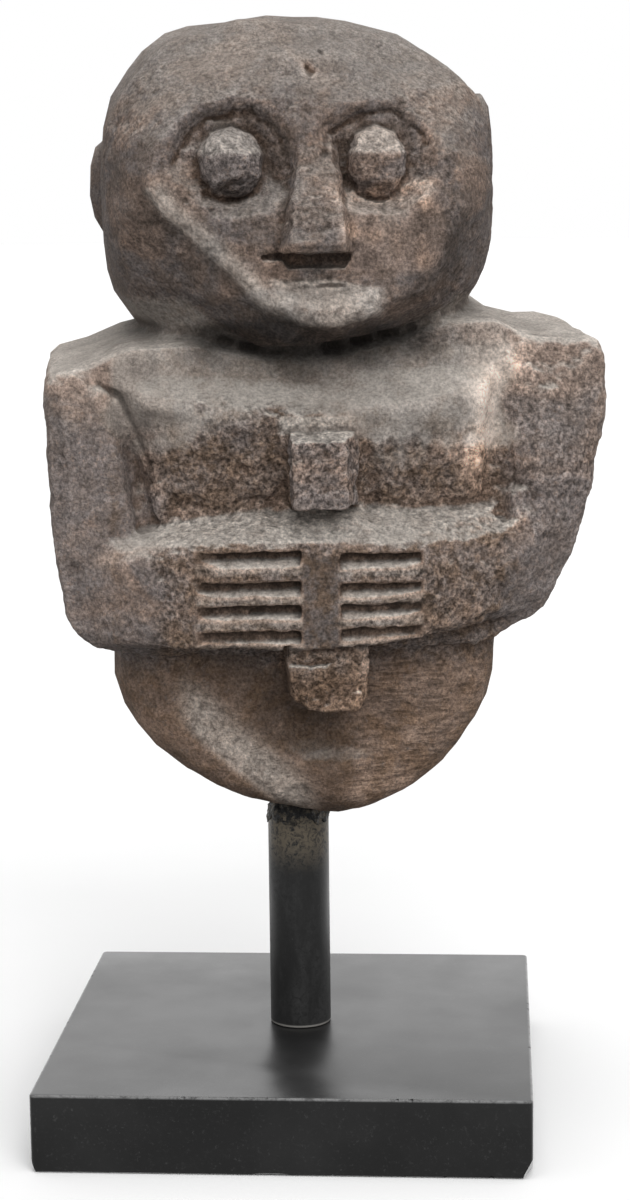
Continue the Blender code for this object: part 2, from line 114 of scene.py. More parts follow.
CHEST_PRESS_Z = (326.0, 372.0)

# The line, width and depth of each crease: cut evenly, then broken up along its length.
EVEN_CREASES = (
    (BROW_LEFT, 6.0, 2.6), (BROW_RIGHT, 6.5, 2.2),
    (((-22, 509), (-15, 501), (-12, 488)), 5.0, 3.5),
    (((20, 504), (19, 492), (21, 480)), 4.0, 2.0),
    (((-46, 480), (-36, 478), (-25, 480)), 1.6, 4.0),
    (((4, 540), (6.5, 537.5)), 1.4, 3.5),
    (((13, 550), (14, 549)), 1.0, 2.0),
    (((-27, 278), (-24, 278)), 1.8, 2.5),
    (((-64, 329), (-50, 327), (-18, 330)), 5.0, 2.2),
    (((38, 328), (80, 326)), 5.0, 2.5))
BROKEN_CREASES = (
    (BROW_LEFT, 1.9, 2.2), (BROW_RIGHT, 1.7, 1.6),
    (((-55, 479), (-42, 474), (-30, 472), (-17, 475)), 3.5, 1.6),
    (((21, 478), (33, 473), (48, 474)), 3.5, 2.0),
    (((-8, 438.5), (2, 440), (14, 439.5)), 1.4, 0.8))

CAMERA_PLACE = Vector((0.106, -1.342, 0.477))
CAMERA_PITCH = math.radians(8.77)
CAMERA_YAW = math.radians(-4.01)
CAMERA_ROLL = math.radians(-0.69)
CAMERA_LENS = 77.46


# ---- general helpers --------------------------------------------------------------
def select_only(piece):
    for other in bpy.context.view_layer.objects:
        other.select_set(False)
    piece.select_set(True)
    bpy.context.view_layer.objects.active = piece


def start_piece(name):
    """Name the primitive just added, and put its place and size into its mesh."""
    piece = bpy.context.active_object
    piece.name = name
    piece.data.name = name
    select_only(piece)
    bpy.ops.object.transform_apply(location=True, rotation=True, scale=True)
    return piece


def copy_node(node, name):
    """A merged copy of a frame node's mesh."""
    piece = bpy.data.objects.new(name, frame["nodes"][node].data.copy())
    bpy.context.scene.collection.objects.link(piece)
    piece.data.materials.clear()
    select_only(piece)
    bpy.ops.mesh.customdata_custom_splitnormals_clear()
    bpy.ops.object.mode_set(mode="EDIT")
    bpy.ops.mesh.select_all(action="SELECT")
    bpy.ops.mesh.remove_doubles(threshold=0.00001)
    bpy.ops.object.mode_set(mode="OBJECT")
    return piece


def apply_modifier(piece, kind, **settings):
    select_only(piece)
    modifier = piece.modifiers.new(kind.lower(), kind)
    for key, value in settings.items():
        setattr(modifier, key, value)
    bpy.ops.object.modifier_apply(modifier=modifier.name)


def cut_away(piece, cutter):
    apply_modifier(piece, "BOOLEAN", operation="DIFFERENCE", solver="EXACT", object=cutter)
    bpy.data.objects.remove(cutter, do_unlink=True)


def make_chunk(name, points):
    """The convex block around a few corner points."""
    mesh = bpy.data.meshes.new(name)
    mesh.from_pydata([tuple(point) for point in points], [], [])
    piece = bpy.data.objects.new(name, mesh)
    bpy.context.scene.collection.objects.link(piece)
    select_only(piece)
    bpy.ops.object.mode_set(mode="EDIT")
    bpy.ops.mesh.select_all(action="SELECT")
    bpy.ops.mesh.convex_hull()
    bpy.ops.object.mode_set(mode="OBJECT")
    return piece


def bevel_edges(piece, chosen, width, segments):
    """Bevel the edges for which chosen(start, end) is true."""
    select_only(piece)
    bpy.ops.object.mode_set(mode="EDIT")
    bpy.ops.mesh.select_all(action="DESELECT")
    bpy.ops.mesh.select_mode(type="EDGE")
    bpy.ops.object.mode_set(mode="OBJECT")
    points = piece.data.vertices
    for edge in piece.data.edges:
        start, end = (points[i].co for i in edge.vertices)
        edge.select = chosen(start, end)
    bpy.ops.object.mode_set(mode="EDIT")
    bpy.ops.mesh.bevel(offset=width, segments=segments, affect="EDGES")
    bpy.ops.mesh.select_mode(type="VERT")
    bpy.ops.object.mode_set(mode="OBJECT")


def read_points(mesh):
    flat = np.empty(len(mesh.vertices) * 3, np.float32)
    mesh.vertices.foreach_get("co", flat)
    return flat.reshape(-1, 3).astype(np.float64)


def write_points(mesh, points):
    mesh.vertices.foreach_set("co", points.astype(np.float32).ravel())
    mesh.update()


def read_normals(mesh):
    flat = np.empty(len(mesh.vertices) * 3, np.float32)
    mesh.vertices.foreach_get("normal", flat)
    return flat.reshape(-1, 3).astype(np.float64)


def paint_group(piece, name, weights):
    """A vertex group with the given weights, from 0 to 1."""
    group = piece.vertex_groups.new(name=name)
    steps = np.round(np.clip(weights, 0.0, 1.0) * WEIGHT_STEPS).astype(int)
    for step in range(1, WEIGHT_STEPS + 1):
        chosen = np.flatnonzero(steps == step)
        if len(chosen):
            group.add(chosen.tolist(), step / WEIGHT_STEPS, "REPLACE")


def paint_attribute(mesh, name, values):
    attribute = mesh.attributes.new(name, "FLOAT", "POINT")
    attribute.data.foreach_set("value", values.astype(np.float32))


def rise(values, low, high):
    """0 below low, 1 above high, and a smooth rise between them."""
    share = np.clip((values - low) / (high - low), 0.0, 1.0)
    return share * share * (3.0 - 2.0 * share)


def displace(piece, texture, strength, middle=0.5, group=""):
    apply_modifier(piece, "DISPLACE", texture=texture, texture_coords="LOCAL",
                   strength=strength, mid_level=middle, vertex_group=group)
    bpy.data.textures.remove(texture)


def cloud_texture(name, size, depth):
    texture = bpy.data.textures.new(name, "CLOUDS")
    texture.noise_scale = size
    texture.noise_depth = depth
    return texture


# ---- node helpers -----------------------------------------------------------------
def new_material(name):
    material = bpy.data.materials.new(name)
    material.use_nodes = True
    return material, material.node_tree, material.node_tree.nodes["Principled BSDF"]


def add_node(tree, kind, inputs=(), **settings):
    """A node with its settings, and its inputs by name: a value, or a socket to link."""
    node = tree.nodes.new(kind)
    for key, value in settings.items():
        setattr(node, key, value)
    for key, value in dict(inputs).items():
        if isinstance(value, bpy.types.NodeSocket):
            tree.links.new(value, node.inputs[key])
        else:
            node.inputs[key].default_value = value
    return node


def object_coordinates(tree):
    return tree.nodes.new("ShaderNodeTexCoord").outputs["Object"]


def noise(tree, place, scale, detail=4.0, roughness=0.6, distortion=0.0):
    node = add_node(tree, "ShaderNodeTexNoise",
                    {"Vector": place, "Scale": scale, "Detail": detail,
                     "Roughness": roughness, "Distortion": distortion})
    return node.outputs["Fac"]


def spread(tree, value, low, high, start=0.0, end=1.0):
    """The value's stretch from low to high, spread smoothly from start to end."""
    node = add_node(tree, "ShaderNodeMapRange",
                    {"Value": value, "From Min": low, "From Max": high,
                     "To Min": start, "To Max": end}, interpolation_type="SMOOTHSTEP")
    return node.outputs["Result"]


def reckon(tree, operation, first, second=0.0):
    node = tree.nodes.new("ShaderNodeMath")
    node.operation = operation
    for socket, value in zip(node.inputs, (first, second)):
        if isinstance(value, bpy.types.NodeSocket):
            tree.links.new(value, socket)
        else:
            socket.default_value = value
    return node.outputs[0]


def blend_colours(tree, share, first, second, way="MIX"):
    node = tree.nodes.new("ShaderNodeMix")
    node.data_type = "RGBA"
    node.blend_type = way
    colour_inputs = [socket for socket in node.inputs if socket.type == "RGBA"]
    for socket, value in zip([node.inputs["Factor"]] + colour_inputs, (share, first, second)):
        if isinstance(value, bpy.types.NodeSocket):
            tree.links.new(value, socket)
        elif socket.type == "RGBA":
            socket.default_value = (*value[:3], 1.0)
        else:
            socket.default_value = value
    return next(socket for socket in node.outputs if socket.type == "RGBA")


def attribute(tree, name):
    return add_node(tree, "ShaderNodeAttribute", attribute_name=name).outputs["Fac"]


def add_bump(tree, shader, height, distance, strength=1.0, under=None):
    inputs = {"Height": height, "Distance": distance, "Strength": strength}
    if under is not None:
        inputs["Normal"] = under
    bump = add_node(tree, "ShaderNodeBump", inputs)
    tree.links.new(bump.outputs["Normal"], shader.inputs["Normal"])
    return bump.outputs["Normal"]


# ---- the stone's regions ----------------------------------------------------------
def to_figure(points):
    """World metres to the figure's own millimetres."""
    c, s = math.cos(FIGURE_TURN), math.sin(FIGURE_TURN)
    x = (points[:, 0] * c + points[:, 1] * s) / MM
    y = (points[:, 1] * c - points[:, 0] * s) / MM
    return x, y, points[:, 2] / MM


def wander(x, y, z, size, amount):
    """A slow uneven shift, so that the regions have no straight borders."""
    a = np.sin(x / size + 1.3 * np.sin(z / (0.7 * size))) + np.sin(z / (0.6 * size) + y / size)
    b = np.sin((x + z) / (0.37 * size) + 2.0) * 0.5
    return amount * (a + b) / 2.5


def band(values, low, high, soft):
    """1 between low and high, falling to 0 over the soft width outside them."""
    return rise(values, low - soft, low) * (1.0 - rise(values, high, high + soft))


def patchy(x, y, z, size):
    """Uneven patches, from 0 to 1."""
    broad = np.sin(x / size + 1.7 * np.sin(z / (0.8 * size))) * np.sin(z / (0.55 * size) + y / size)
    small = np.sin((x - z) / (0.31 * size) + 1.0) * np.sin((x + 0.7 * z) / (0.27 * size))
    return rise(0.65 * broad + 0.35 * small, -0.35, 0.5)


def groove_share(x, y, z, above, below):
    """1 in a band at the foot of each groove between the fingers, and 0 elsewhere."""
    share = np.zeros(len(x))
    for start, end, tops in FINGER_GROOVES:
        for top in tops:
            foot = top - GROOVE_HEIGHT
            inside = band(z, foot - below, foot + above, 1.2) * band(x, start, end, 1.5)
            share = np.maximum(share, inside)
    return share * (1.0 - rise(y, *HANDS_BEHIND))


def near_line(x, z, line, width):
    return np.exp(-(gap_to_line(x, z, line) / width) ** 2)


def flake_share(x, z):
    """1 on the long flaked face low on the figure's right, and 0 elsewhere."""
    slant = z + 0.9 * x
    return (rise(slant, 155.0, 163.0) - rise(slant, 174.0, 196.0)) * band(x, -52.0, -2.0, 16.0)


def eye_shares(x, y, z):
    """The ball eyes, their upper faces, and their feet."""
    eyes = sum(1.0 - rise(np.hypot((x - eye[0]) / eye[2], (z - eye[1]) / eye[3]), 0.9, 1.1)
               for eye in EYES) * (1.0 - rise(y, -80.0, -74.0))
    return eyes, eyes * rise(z, 499.0, 501.0), eyes * (1.0 - rise(z, 484.0, 489.0))


def painted_shade_share(x, z, across, y, up):
    """Painted shade in the hollows, creases and under overhangs: x and z have wandered, while across,
    y and up are the true places.
    """
    chin_shade = band(z, 401.0, 412.0, 12.0) * band(x, -44.0, 58.0, 22.0)
    below_rim = near_line(across, up, drawn_in(FACE_RIM, 1.11), 4.0) * (1.0 - rise(x, 24.0, 44.0))
    return np.maximum.reduce([
        chin_shade, 0.35 * below_rim,
        0.45 * band(x, 54.0, 76.0, 7.0) * band(z, 432.0, 466.0, 9.0),
        0.3 * near_line(across, up, ELBOW_FOLD, 5.0),
        0.5 * near_line(across, up, INNER_SOCKET, 5.0),
        0.75 * groove_share(across, y, up, GROOVE_HEIGHT - 1.0, -3.5),
        0.5 * near_line(across, up, ARMPIT_LEFT, 2.2)])


def stone_regions(points):
    """How much of each kind of surface there is at each point, from 0 to 1."""
    x, y, z = to_figure(points)
    forward = 1.0 - rise(y, -45.0, -25.0)
    groove = groove_share(x, y, z, GROOVE_HEIGHT - 0.5, 0.0)
    lip = groove_share(x, y, z, 1.5, 3.0)
    strip = band(x, *STRIP_X, 1.5) * band(z, *STRIP_Z, 2.0) * (1.0 - rise(y, *HANDS_BEHIND))
    tab = band(x, *TAB_X, 1.5) * band(z, *TAB_Z, 1.5) * (1.0 - rise(y, -66.0, -60.0))
    pendant_top = band(x, -11.0, 22.0, 2.0) * band(z, 365.0, 372.0, 2.0) * forward
    flake = flake_share(x, z) * forward
    rim = np.maximum(near_line(x, z, FACE_RIM, 1.8),
                     near_line(x, z, drawn_in(FACE_RIM, 0.92), 5.0))
    rim *= (1.0 - rise(y, -70.0, -55.0)) * (1.0 - rise(x, 24.0, 44.0))
    pendant = band(x, *PENDANT_X, 1.0) * band(z, *PENDANT_Z, 1.0) * (1.0 - rise(y, -84.0, -80.0))
    across, up = x, z
    z = z + wander(x, y, z, 17.0, 7.0)
    x = x + wander(x, y, z, 11.0, 4.0)
    blotchy = patchy(across, y, up, 13.0)
    lower_body = 1.0 - rise(z, 240.0, 254.0)
    jaw = rise(up, 403.0, 410.0) * (1.0 - rise(y, -66.0, -57.0))
    head = np.maximum(rise(up, 425.0, 434.0), jaw)
    head *= 1.0 - rise(np.abs(across - 4.0), 110.0, 118.0)
    torso = (1.0 - lower_body) * (1.0 - head)
    outer = 1.0 - band(x, -72.0, 98.0, 8.0)
    upper_arm = 1.0 - band(x, -92.0, 102.0, 6.0)
    lift = 12.0 * blotchy + 9.0 * rise(x, 24.0, 36.0) - 9.0 * band(x, -50.0, -14.0, 8.0)
    chest_top = rise(z + lift + 0.10 * np.abs(x - 6.0), 368.0, 386.0)
    chest_top *= torso * (1.0 - 0.9 * upper_arm)
    sockets = sum(np.exp(-(((x - eye[0]) / 27.0) ** 2 + ((z - eye[1]) / 25.0) ** 2))
                  for eye in EYES)
    smoother = outer * (0.75 - 0.3 * rise(x, 90.0, 100.0)) + 0.25 * (1.0 - rise(z, 312.0, 322.0))
    coarse = torso * (1.0 - 0.9 * chest_top) * (1.0 - np.minimum(smoother, 0.75))
    coarse *= 0.72 + 0.28 * patchy(across, y, up, 21.0)
    coarse += head * (0.15 + 0.22 * blotchy + 0.45 * sockets)
    coarse = np.maximum(coarse, 0.35 * flake) * (1.0 - 0.45 * groove) * (1.0 - 0.6 * strip)
    front = band(x, -88.0, 92.0, 10.0) * (1.0 - rise(y, -40.0, 10.0)) * torso
    arms = torso * upper_arm * (1.0 - chest_top)
    ledge = near_line(x, z, FOREARM_LEDGE, 6.0) * (1.0 - rise(y, -50.0, -30.0))
    shelf = band(x, -14.0, 34.0, 8.0) * band(z, 423.0, 436.0, 4.0) * (1.0 - rise(y, -80.0, -70.0))
    eyes, eye_tops, eye_feet = eye_shares(across, y, up)
    # Dust. On the chin's rim and shelf, the eyes' upper faces and the pendant's top it is also painted
    # light on their upward faces.
    dusty = np.maximum.reduce([0.85 * chest_top, 0.8 * rim, 0.35 * lip, pendant_top, 0.7 * flake,
                               0.15 * ledge, 0.8 * shelf, 0.8 * eye_tops])
    cheeks = band(x, 20.0, 62.0, 9.0) * band(z, 446.0, 482.0, 7.0) * (0.45 + 0.55 * blotchy)
    lip_side = band(x, -36.0, -4.0, 8.0) * band(z, 434.0, 456.0, 6.0) * 0.7
    neck_root = band(z, 388.0, 412.0, 8.0) * (1.0 - band(x, -66.0, 76.0, 14.0)) * 0.6
    earthy = np.maximum.reduce([near_line(x, z, ARMPIT_RIGHT, 9.0),
                                0.7 * near_line(x, z, ARMPIT_LEFT, 7.0),
                                0.7 * ledge, cheeks, lip_side, neck_root, 0.9 * groove])
    mauve = np.maximum.reduce([0.5 * head, 0.9 * eyes, 0.7 * arms, 0.8 * pendant, 0.6 * flake,
                               0.7 * front * rise(-x, 64.0, 76.0)])
    # Painted shade: the hollows above, and more under the feet of the ball eyes.
    painted_shade = forward * np.maximum(painted_shade_share(x, z, across, y, up), 0.35 * eye_feet)
    # Where painted shadow falls: the middle of the lower body, under the tab.
    middle = band(x, -24.0, 22.0, 10.0) * lower_body
    chiselled = lower_body * rise(x, 14.0, 34.0) * forward
    tone = 1.09 - 0.16 * head * (1.0 - rim) + 0.20 * arms + 0.16 * front * (1.0 - chest_top)
    # The flaked face is lightened partly for its paler stone and partly as painted light on its upward
    # slope.
    tone += (1.3 * near_line(x, z, ARMPIT_RIGHT, 10.0) * rise(z, 328.0, 346.0)
             + 0.65 * flake - 0.4 * strip + 0.4 * tab)
    # Painted shadow darkens the middle under the tab. The cheek on the figure's left is lightened,
    # partly earth colour and partly painted light.
    tone += 0.42 * chiselled - 0.22 * middle + 0.12 * (blotchy - 0.5) + 0.6 * cheeks
    tone -= 0.15 * front * rise(-x, 64.0, 76.0)
    # Painted light: the chin's rim and shelf, the eyes' upper faces and the pendant's top are
    # lightened as upward faces that catch the light.
    tone += 0.08 * chest_top * forward + 0.3 * rim + 0.35 * shelf + 0.15 * eyes + 0.2 * eye_tops
    tone += 0.35 * pendant_top + 0.1 * ledge * (1.0 - rise(x, -10.0, 30.0))
    return {"lower_body": lower_body, "head": head, "coarse": np.maximum(coarse, tab),
            "dusty": dusty, "earthy": earthy, "painted_shade": painted_shade, "chiselled": chiselled, "tone": tone,
            "mauve": mauve}


# ---- the stone --------------------------------------------------------------------
def gap_to_line(x, z, line):
    """The distance of each point from a line of straight stretches, seen from in front."""
    nearest = np.full(len(x), 1e9)
    for (x1, z1), (x2, z2) in zip(line, line[1:]):
        length = (x2 - x1) ** 2 + (z2 - z1) ** 2
        share = np.clip(((x - x1) * (x2 - x1) + (z - z1) * (z2 - z1)) / length, 0.0, 1.0)
        nearest = np.minimum(nearest, np.hypot(x - x1 - share * (x2 - x1), z - z1 - share * (z2 - z1)))
    return nearest


def press_in(points, amount):
    """Move the front of the stone back by an amount at each point, in figure millimetres."""
    y = to_figure(points)[1]
    amount = amount * (1.0 - rise(y, *CARVED_DEPTH)) * MM
    points[:, 0] -= amount * math.sin(FIGURE_TURN)
    points[:, 1] += amount * math.cos(FIGURE_TURN)


def crease(x, z, line, width, depth):
    return depth * np.exp(-(gap_to_line(x, z, line) / width) ** 2)


def drawn_in(line, share):
    """The same line, drawn in towards the middle of the face."""
    x0, z0 = FACE_MIDDLE
    return [(x0 + share * (x - x0), z0 + share * (z - z0)) for x, z in line]


def dress_eyes(x, y, z):
    """How far each ball eye is dressed back to a few flat faces."""
    amount = np.zeros(len(x))
    for (middle, height, half_width, half_height), lean in zip(EYES, (0.12, -0.10)):
        across, up = x - middle, z - height
        inside = 1.0 - rise(np.hypot(across / half_width, up / half_height), 1.0, 1.1)
        front = -96.5 + lean * across - 0.10 * up
        faces = [front, front + up - 4.5 + 0.2 * across,
                 front + 1.1 * (-6.5 - up + lean * across),
                 front + 0.9 * (across - 8.0 + 0.3 * up),
                 front + 0.9 * (-8.5 - across - 0.2 * up)]
        amount += inside * np.clip(np.max(faces, axis=0) - y, 0.0, 7.0) * (y < -74.0)
    return amount


def carve_details(piece):
    """Creases and ridges of the face, chest and lower body, too fine for the frame's solid."""
    points = read_points(piece.data)
    x, y, z = to_figure(points)
    press_in(points, dress_eyes(x, y, z))
    broken = 0.45 + 0.9 * patchy(x, y, z, 7.0)
    x = x + wander(x, y, z, 9.0, 1.6)
    z = z + wander(z, y, x, 8.0, 1.6)
    depth = broken * sum(crease(x, z, *item) for item in BROKEN_CREASES)
    depth += sum(crease(x, z, *item) for item in EVEN_CREASES)
    rim_share = 1.0 - 0.8 * rise(x, 24.0, 44.0)
    depth -= crease(x, z, FACE_RIM, 2.2, 1.0) * rim_share
    depth += crease(x, z, drawn_in(FACE_RIM, 1.09), 4.5, 2.0) * rim_share
    depth += crease(x, z, drawn_in(FACE_RIM, 0.80), 9.0, 2.2)
    depth += 2.6 * flake_share(x, z)
    chest = band(z, *CHEST_PRESS_Z, 6.0)
    fall = np.clip(0.25 * (-52.0 - x), 0.0, 7.0) * rise(x, -90.0, -76.0) * rise(z, 324.0, 346.0)
    depth += chest * fall
    depth += chest * (crease(x, z, ((-13, 372), (-13, 326)), 5.0, 3.0)
                      + crease(x, z, ((33, 372), (34, 326)), 5.0, 3.0))
    press_in(points, depth)
    write_points(piece.data, points)
    x, y, z = to_figure(points)
    soft = band(z, 360.0, 400.0, 6.0) * band(x, -95.0, 98.0, 6.0) * (1.0 - rise(y, -62.0, -50.0))
    soft *= 1.0 - band(x, -12.0, 24.0, 3.0) * (1.0 - rise(z, 368.0, 372.0))
    paint_group(piece, "worn", soft)
    apply_modifier(piece, "SMOOTH", factor=0.5, iterations=40, vertex_group="worn")
    points = read_points(piece.data)
    x, y, z = to_figure(points)
    armpit = crease(x, z, ARMPIT_LEFT, 1.8, 1.8) + crease(x, z, ARMPIT_LEFT, 7.0, 3.0)
    press_in(points, armpit * rise(z, 336.0, 352.0))
    write_points(piece.data, points)


def roughen_stone(piece):
    """Uneven dressing, pecking and grain, each where the stone has them."""
    coarse = stone_regions(read_points(piece.data))["coarse"]
    level = rise(read_normals(piece.data)[:, 2], 0.35, 0.8)
    paint_group(piece, "pecked", (0.10 + 0.90 * coarse) * (1.0 - 0.5 * level))
    displace(piece, cloud_texture("uneven", 0.028, 2), 2.6 * MM)
    displace(piece, cloud_texture("pecking", 0.0078, 3), 5.8 * MM, group="pecked")
    displace(piece, cloud_texture("grain", 0.0027, 2), 1.9 * MM, group="pecked")


def measure_hollows(piece, passes):
    """How far each point lies below the surface around it, in millimetres."""
    smooth = piece.copy()
    smooth.data = piece.data.copy()
    bpy.context.scene.collection.objects.link(smooth)
    apply_modifier(smooth, "SMOOTH", factor=0.5, iterations=passes)
    shift = read_points(smooth.data) - read_points(piece.data)
    depth = np.einsum("ij,ij->i", shift, read_normals(smooth.data)) / MM
    bpy.data.objects.remove(smooth, do_unlink=True)
    return depth


def thin_out(piece, most):
    """Bring the triangles down, more at the back than on the carved front."""
    y = to_figure(read_points(piece.data))[1]
    paint_group(piece, "plain", 0.25 + 0.75 * rise(y, -60.0, -20.0))
    triangles = sum(len(face.vertices) - 2 for face in piece.data.polygons)
    if triangles > most:
        apply_modifier(piece, "DECIMATE", ratio=most / triangles, vertex_group="plain",
                       vertex_group_factor=0.6)


def make_stone(settings):
    piece = copy_node("stone_figure", "carved_stone")
    piece.data.remesh_voxel_size = settings.voxel
    bpy.ops.object.voxel_remesh()
    apply_modifier(piece, "SMOOTH", factor=0.5, iterations=settings.smoothing)
    carve_details(piece)
    roughen_stone(piece)
    paint_attribute(piece.data, "hollow", measure_hollows(piece, HOLLOW_PASSES))
    paint_attribute(piece.data, "pit", measure_hollows(piece, PIT_PASSES))
    thin_out(piece, settings.triangles)
    mesh = piece.data
    mesh.shade_smooth()
    for name, values in stone_regions(read_points(mesh)).items():
        paint_attribute(mesh, name, values)
    mesh.materials.append(stone_material(settings))
    return piece


def stone_colour(tree, settings, patches, mottle, tint):
    """The stone's own colours, with earth in the creases and dust on top, and the dust's share; on the
    chin's rim and shelf, the eyes' upper faces and the pendant's top the dust also stands for painted
    light.
    """
    colour = blend_colours(tree, spread(tree, mottle, 0.40, 0.60), settings.brown, settings.mauve)
    colour = blend_colours(tree, reckon(tree, "MULTIPLY", attribute(tree, "coarse"), 0.6),
                           colour, settings.brown)
    greyed = reckon(tree, "MAXIMUM", attribute(tree, "mauve"),
                    spread(tree, patches, 0.46, 0.36, 0.0, 0.7))
    colour = blend_colours(tree, greyed, colour, settings.mauve)
    colour = blend_colours(tree, reckon(tree, "MULTIPLY", attribute(tree, "lower_body"), 0.7),
                           colour, settings.umber)
    earth = reckon(tree, "ADD", spread(tree, attribute(tree, "hollow"), 0.3, 1.8, 0.0, 0.8),
                   spread(tree, patches, 0.50, 0.64, 0.0, 0.6))
    earth = reckon(tree, "ADD", earth, spread(tree, tint, 0.54, 0.66, 0.0, 0.5))
    earth = reckon(tree, "MAXIMUM", earth, attribute(tree, "earthy"))
    earth = reckon(tree, "MULTIPLY", earth, spread(tree, mottle, 0.32, 0.58, 0.35, 0.95))
    colour = blend_colours(tree, earth, colour, settings.earth)
    colour = blend_colours(tree, spread(tree, tint, 0.44, 0.34, 0.0, 0.45), colour, settings.slate)

    normal = tree.nodes.new("ShaderNodeNewGeometry").outputs["Normal"]
    up = add_node(tree, "ShaderNodeSeparateXYZ", {"Vector": normal}).outputs["Z"]
    head_dust = spread(tree, attribute(tree, "head"), 0.0, 1.0, 1.0, 0.55)
    dust = reckon(tree, "MAXIMUM", reckon(tree, "MULTIPLY", spread(tree, up, 0.2, 0.8), head_dust),
                  reckon(tree, "MULTIPLY", attribute(tree, "dusty"), 0.8))
    dust = reckon(tree, "MULTIPLY", dust, spread(tree, mottle, 0.3, 0.55, 0.70, 0.95))
    return blend_colours(tree, dust, colour, settings.dust), dust


def stone_shade(tree, mottle, relief, strokes, dust):
    """How light each point is: grains and pits with painted shade in their hollows, tool strokes, a
    painted tone that holds painted light and shade in places, and painted shade.
    """
    grit = spread(tree, attribute(tree, "coarse"), 0.0, 1.0, 0.44, 0.72)
    grit = reckon(tree, "MULTIPLY", grit, spread(tree, dust, 0.0, 1.0, 1.0, 0.6))
    # The fine relief also drives the fine bump: its low places are darkened and its rises lightened,
    # as painted shade over the grain's own tone.
    grains = reckon(tree, "MULTIPLY", spread(tree, relief, 0.34, 0.66, -1.0, 1.0), grit)
    tooling = reckon(tree, "MULTIPLY", spread(tree, strokes, 0.35, 0.65, -0.3, 0.3),
                     attribute(tree, "chiselled"))
    # Painted shade darkens the stone here.
    darkening = reckon(tree, "MULTIPLY", attribute(tree, "painted_shade"), 0.72)
    shade = reckon(tree, "ADD", 1.0, grains)
    # Painted shade: pits darkened, rises lightened.
    for factor in (spread(tree, attribute(tree, "pit"), -0.4, 0.4, 1.45, 0.45),
                   spread(tree, mottle, 0.3, 0.7, 0.92, 1.08),
                   reckon(tree, "ADD", 1.0, tooling),
                   attribute(tree, "tone"),
                   reckon(tree, "SUBTRACT", 1.0, darkening)):
        shade = reckon(tree, "MULTIPLY", shade, factor)
    return shade


def stone_material(settings):
    """Grey-brown volcanic stone: pale dust on top, warm earth in the creases, with painted shade in
    the hollows and painted light on some upward faces.
    """
    material, tree, shader = new_material("weathered_volcanic_stone")
    place = object_coordinates(tree)
    patches = noise(tree, place, 19.0, 4.0, 0.6, 0.6)
    mottle = noise(tree, place, 75.0, 6.0, 0.7)
    tint = noise(tree, place, 420.0, 6.0, 0.74)
    relief = noise(tree, place, 640.0, 6.0, 0.76)
    lumps = noise(tree, place, 190.0, 8.0, 0.6)
    stretched = add_node(tree, "ShaderNodeMapping", {"Vector": place, "Rotation": (0.0, 0.35, 0.0),
                                                     "Scale": (0.22, 0.22, 1.0)})
    strokes = noise(tree, stretched.outputs["Vector"], 480.0, 3.0, 0.6)

    colour, dust = stone_colour(tree, settings, patches, mottle, tint)
    shade = stone_shade(tree, mottle, relief, strokes, dust)
    grey = add_node(tree, "ShaderNodeCombineColor", {"Red": shade, "Green": shade, "Blue": shade})
    colour = blend_colours(tree, 1.0, colour, grey.outputs["Color"], "MULTIPLY")
    tree.links.new(colour, shader.inputs["Base Color"])
    tree.links.new(spread(tree, relief, 0.3, 0.7, 0.82, 0.97), shader.inputs["Roughness"])
    shader.inputs["Specular IOR Level"].default_value = 0.3

    height = reckon(tree, "MULTIPLY", lumps,
                    spread(tree, attribute(tree, "coarse"), 0.0, 1.0, 0.45, 1.1))
    tooled = reckon(tree, "MULTIPLY", strokes,
                    reckon(tree, "MULTIPLY", attribute(tree, "chiselled"), 0.4))
    under = add_bump(tree, shader, reckon(tree, "ADD", height, tooled), 5.0 * MM)
    add_bump(tree, shader, relief, 1.3 * MM, under=under)
    return material


# ---- rod, setting and slab --------------------------------------------------------
def rod_axis():
    centre = (ROD_LOW + ROD_HIGH) / 2.0
    return centre, (ROD_HIGH.x - ROD_LOW.x) / 2.0


def make_rod(settings):
    centre, radius = rod_axis()
    bpy.ops.mesh.primitive_cylinder_add(vertices=128, radius=radius, depth=ROD_HIGH.z - ROD_LOW.z,
                                        location=centre)
    piece = start_piece("painted_rod")
    bevel_edges(piece, lambda a, b: abs(a.z - b.z) < FLAT and a.z > centre.z, 1.1 * MM, 4)
    bevel_edges(piece, lambda a, b: abs(a.z - b.z) < FLAT and a.z < ROD_LOW.z + FLAT, 0.5 * MM, 3)
    piece.data.shade_smooth()
    select_only(piece)
    bpy.ops.object.shade_smooth_by_angle(angle=math.radians(35.0))
    piece.data.materials.append(rod_material(settings))
    return piece


